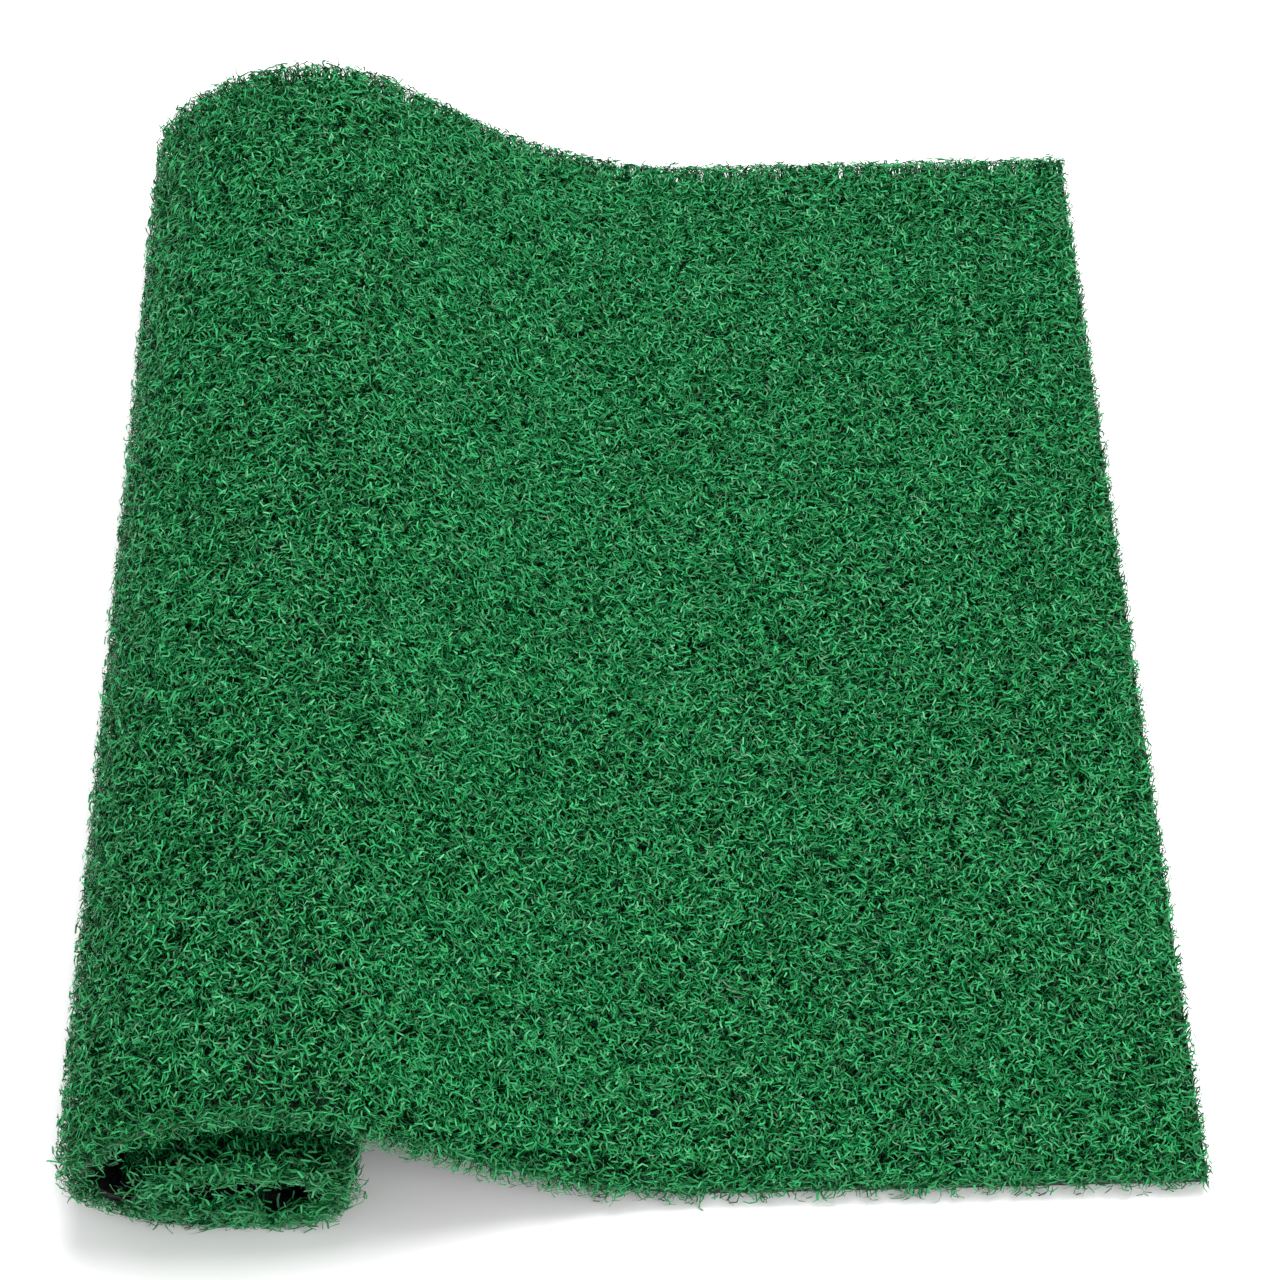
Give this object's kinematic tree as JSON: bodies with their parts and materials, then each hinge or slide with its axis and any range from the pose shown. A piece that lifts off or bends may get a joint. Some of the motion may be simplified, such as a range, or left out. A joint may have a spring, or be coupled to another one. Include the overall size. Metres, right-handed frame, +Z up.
{
  "type": "practice putting mat",
  "caption": "Strip of short curly artificial turf with a black rubber backing, one end rolled up with the turf outwards, the other lying flat.",
  "frame": {"origin": "centre of the bounding box in X and Y, on the floor in Z", "axes": "+X along the strip towards its flat end, +Y across the strip and along the roll, +Z up out of the turf"},
  "size_m": [0.3876, 0.5, 0.072],
  "materials": {
    "turf_yarn": "short curly green pile, matt with small pale glints",
    "woven_cloth": "black woven tape cloth, slightly shiny",
    "rubber_coat": "black rubber coat, satin"
  },
  "bodies": {
    "root": {"rubber_flat": "rubber_coat", "cloth_flat": "woven_cloth", "pile_flat": "turf_yarn"},
    "rise_1": {"rubber_rise_1": "rubber_coat", "cloth_rise_1": "woven_cloth", "pile_rise_1": "turf_yarn"},
    "rise_2": {"rubber_rise_2": "rubber_coat", "cloth_rise_2": "woven_cloth", "pile_rise_2": "turf_yarn"},
    "rise_3": {"rubber_rise_3": "rubber_coat", "cloth_rise_3": "woven_cloth", "pile_rise_3": "turf_yarn"},
    "roll_01": {"rubber_roll_01": "rubber_coat", "cloth_roll_01": "woven_cloth", "pile_roll_01": "turf_yarn"},
    "roll_02": {"rubber_roll_02": "rubber_coat", "cloth_roll_02": "woven_cloth", "pile_roll_02": "turf_yarn"},
    "roll_03": {"rubber_roll_03": "rubber_coat", "cloth_roll_03": "woven_cloth", "pile_roll_03": "turf_yarn"},
    "roll_04": {"rubber_roll_04": "rubber_coat", "cloth_roll_04": "woven_cloth", "pile_roll_04": "turf_yarn"},
    "roll_05": {"rubber_roll_05": "rubber_coat", "cloth_roll_05": "woven_cloth", "pile_roll_05": "turf_yarn"},
    "roll_06": {"rubber_roll_06": "rubber_coat", "cloth_roll_06": "woven_cloth", "pile_roll_06": "turf_yarn"},
    "roll_07": {"rubber_roll_07": "rubber_coat", "cloth_roll_07": "woven_cloth", "pile_roll_07": "turf_yarn"},
    "roll_08": {"rubber_roll_08": "rubber_coat", "cloth_roll_08": "woven_cloth", "pile_roll_08": "turf_yarn"},
    "roll_09": {"rubber_roll_09": "rubber_coat", "cloth_roll_09": "woven_cloth", "pile_roll_09": "turf_yarn"},
    "roll_10": {"rubber_roll_10": "rubber_coat", "cloth_roll_10": "woven_cloth", "pile_roll_10": "turf_yarn"},
    "roll_11": {"rubber_roll_11": "rubber_coat", "cloth_roll_11": "woven_cloth", "pile_roll_11": "turf_yarn"},
    "roll_12": {"rubber_roll_12": "rubber_coat", "cloth_roll_12": "woven_cloth", "pile_roll_12": "turf_yarn"},
    "roll_13": {"rubber_roll_13": "rubber_coat", "cloth_roll_13": "woven_cloth", "pile_roll_13": "turf_yarn"},
    "roll_14": {"rubber_roll_14": "rubber_coat", "cloth_roll_14": "woven_cloth", "pile_roll_14": "turf_yarn"},
    "roll_15": {"rubber_roll_15": "rubber_coat", "cloth_roll_15": "woven_cloth", "pile_roll_15": "turf_yarn"}
  },
  "joints": [
    {"name": "unroll", "type": "hinge", "parent": "root", "child": "rise_1", "pos_m": [0.01681, 0, 0], "axis": [0, -1, 0], "range_deg": [0, 11.5]},
    {"name": "bend_rise_2", "type": "hinge", "parent": "rise_1", "child": "rise_2", "pos_m": [-0.01553, 0, 0.00658], "axis": [0, -1, 0], "range_deg": [0, 11.5]},
    {"name": "bend_rise_3", "type": "hinge", "parent": "rise_2", "child": "rise_3", "pos_m": [-0.0459, 0, 0.01947], "axis": [0, -1, 0], "range_deg": [0, 9.6]},
    {"name": "bend_roll_01", "type": "hinge", "parent": "rise_3", "child": "roll_01", "pos_m": [-0.10922, 0, 0.05997], "axis": [0, 1, 0], "range_deg": [0, 33.9]},
    {"name": "bend_roll_02", "type": "hinge", "parent": "roll_01", "child": "roll_02", "pos_m": [-0.14421, 0, 0.05917], "axis": [0, 1, 0], "range_deg": [0, 23.8]},
    {"name": "bend_roll_03", "type": "hinge", "parent": "roll_02", "child": "roll_03", "pos_m": [-0.1702, 0, 0.047], "axis": [0, 1, 0], "range_deg": [0, 23.1]},
    {"name": "bend_roll_04", "type": "hinge", "parent": "roll_03", "child": "roll_04", "pos_m": [-0.18273, 0, 0.03298], "axis": [0, 1, 0], "range_deg": [0, 63.2]},
    {"name": "bend_roll_05", "type": "hinge", "parent": "roll_04", "child": "roll_05", "pos_m": [-0.17726, 0, 0.01902], "axis": [0, 1, 0], "range_deg": [0, 40.9]},
    {"name": "bend_roll_06", "type": "hinge", "parent": "roll_05", "child": "roll_06", "pos_m": [-0.15627, 0, 0.008], "axis": [0, 1, 0], "range_deg": [0, 27.7]},
    {"name": "bend_roll_07", "type": "hinge", "parent": "roll_06", "child": "roll_07", "pos_m": [-0.11827, 0, 0.008], "axis": [0, 1, 0], "range_deg": [0, 25]},
    {"name": "bend_roll_08", "type": "hinge", "parent": "roll_07", "child": "roll_08", "pos_m": [-0.10332, 0, 0.01497], "axis": [0, 1, 0], "range_deg": [0, 41]},
    {"name": "bend_roll_09", "type": "hinge", "parent": "roll_08", "child": "roll_09", "pos_m": [-0.09929, 0, 0.02402], "axis": [0, 1, 0], "range_deg": [0, 65.1]},
    {"name": "bend_roll_10", "type": "hinge", "parent": "roll_09", "child": "roll_10", "pos_m": [-0.10626, 0, 0.03201], "axis": [0, 1, 0], "range_deg": [0, 37.8]},
    {"name": "bend_roll_11", "type": "hinge", "parent": "roll_10", "child": "roll_11", "pos_m": [-0.12422, 0, 0.03553], "axis": [0, 1, 0], "range_deg": [0, 15.4]},
    {"name": "bend_roll_12", "type": "hinge", "parent": "roll_11", "child": "roll_12", "pos_m": [-0.15025, 0, 0.03357], "axis": [0, 1, 0], "range_deg": [0, 22.2]},
    {"name": "bend_roll_13", "type": "hinge", "parent": "roll_12", "child": "roll_13", "pos_m": [-0.16125, 0, 0.02808], "axis": [0, 1, 0], "range_deg": [0, 68.6]},
    {"name": "bend_roll_14", "type": "hinge", "parent": "roll_13", "child": "roll_14", "pos_m": [-0.16076, 0, 0.0226], "axis": [0, 1, 0], "range_deg": [0, 73.5]},
    {"name": "bend_roll_15", "type": "hinge", "parent": "roll_14", "child": "roll_15", "pos_m": [-0.14822, 0, 0.02007], "axis": [0, 1, 0], "range_deg": [0, 12.6]}
  ],
  "couplings": [
    {"joint": "bend_rise_2", "follows": "unroll", "ratio": 1},
    {"joint": "bend_rise_3", "follows": "unroll", "ratio": 0.83478},
    {"joint": "bend_roll_01", "follows": "unroll", "ratio": 2.9478},
    {"joint": "bend_roll_02", "follows": "unroll", "ratio": 2.0696},
    {"joint": "bend_roll_03", "follows": "unroll", "ratio": 2.0087},
    {"joint": "bend_roll_04", "follows": "unroll", "ratio": 5.4957},
    {"joint": "bend_roll_05", "follows": "unroll", "ratio": 3.5565},
    {"joint": "bend_roll_06", "follows": "unroll", "ratio": 2.4087},
    {"joint": "bend_roll_07", "follows": "unroll", "ratio": 2.1739},
    {"joint": "bend_roll_08", "follows": "unroll", "ratio": 3.5652},
    {"joint": "bend_roll_09", "follows": "unroll", "ratio": 5.6609},
    {"joint": "bend_roll_10", "follows": "unroll", "ratio": 3.287},
    {"joint": "bend_roll_11", "follows": "unroll", "ratio": 1.3391},
    {"joint": "bend_roll_12", "follows": "unroll", "ratio": 1.9304},
    {"joint": "bend_roll_13", "follows": "unroll", "ratio": 5.9652},
    {"joint": "bend_roll_14", "follows": "unroll", "ratio": 6.3913},
    {"joint": "bend_roll_15", "follows": "unroll", "ratio": 1.0957}
  ]
}
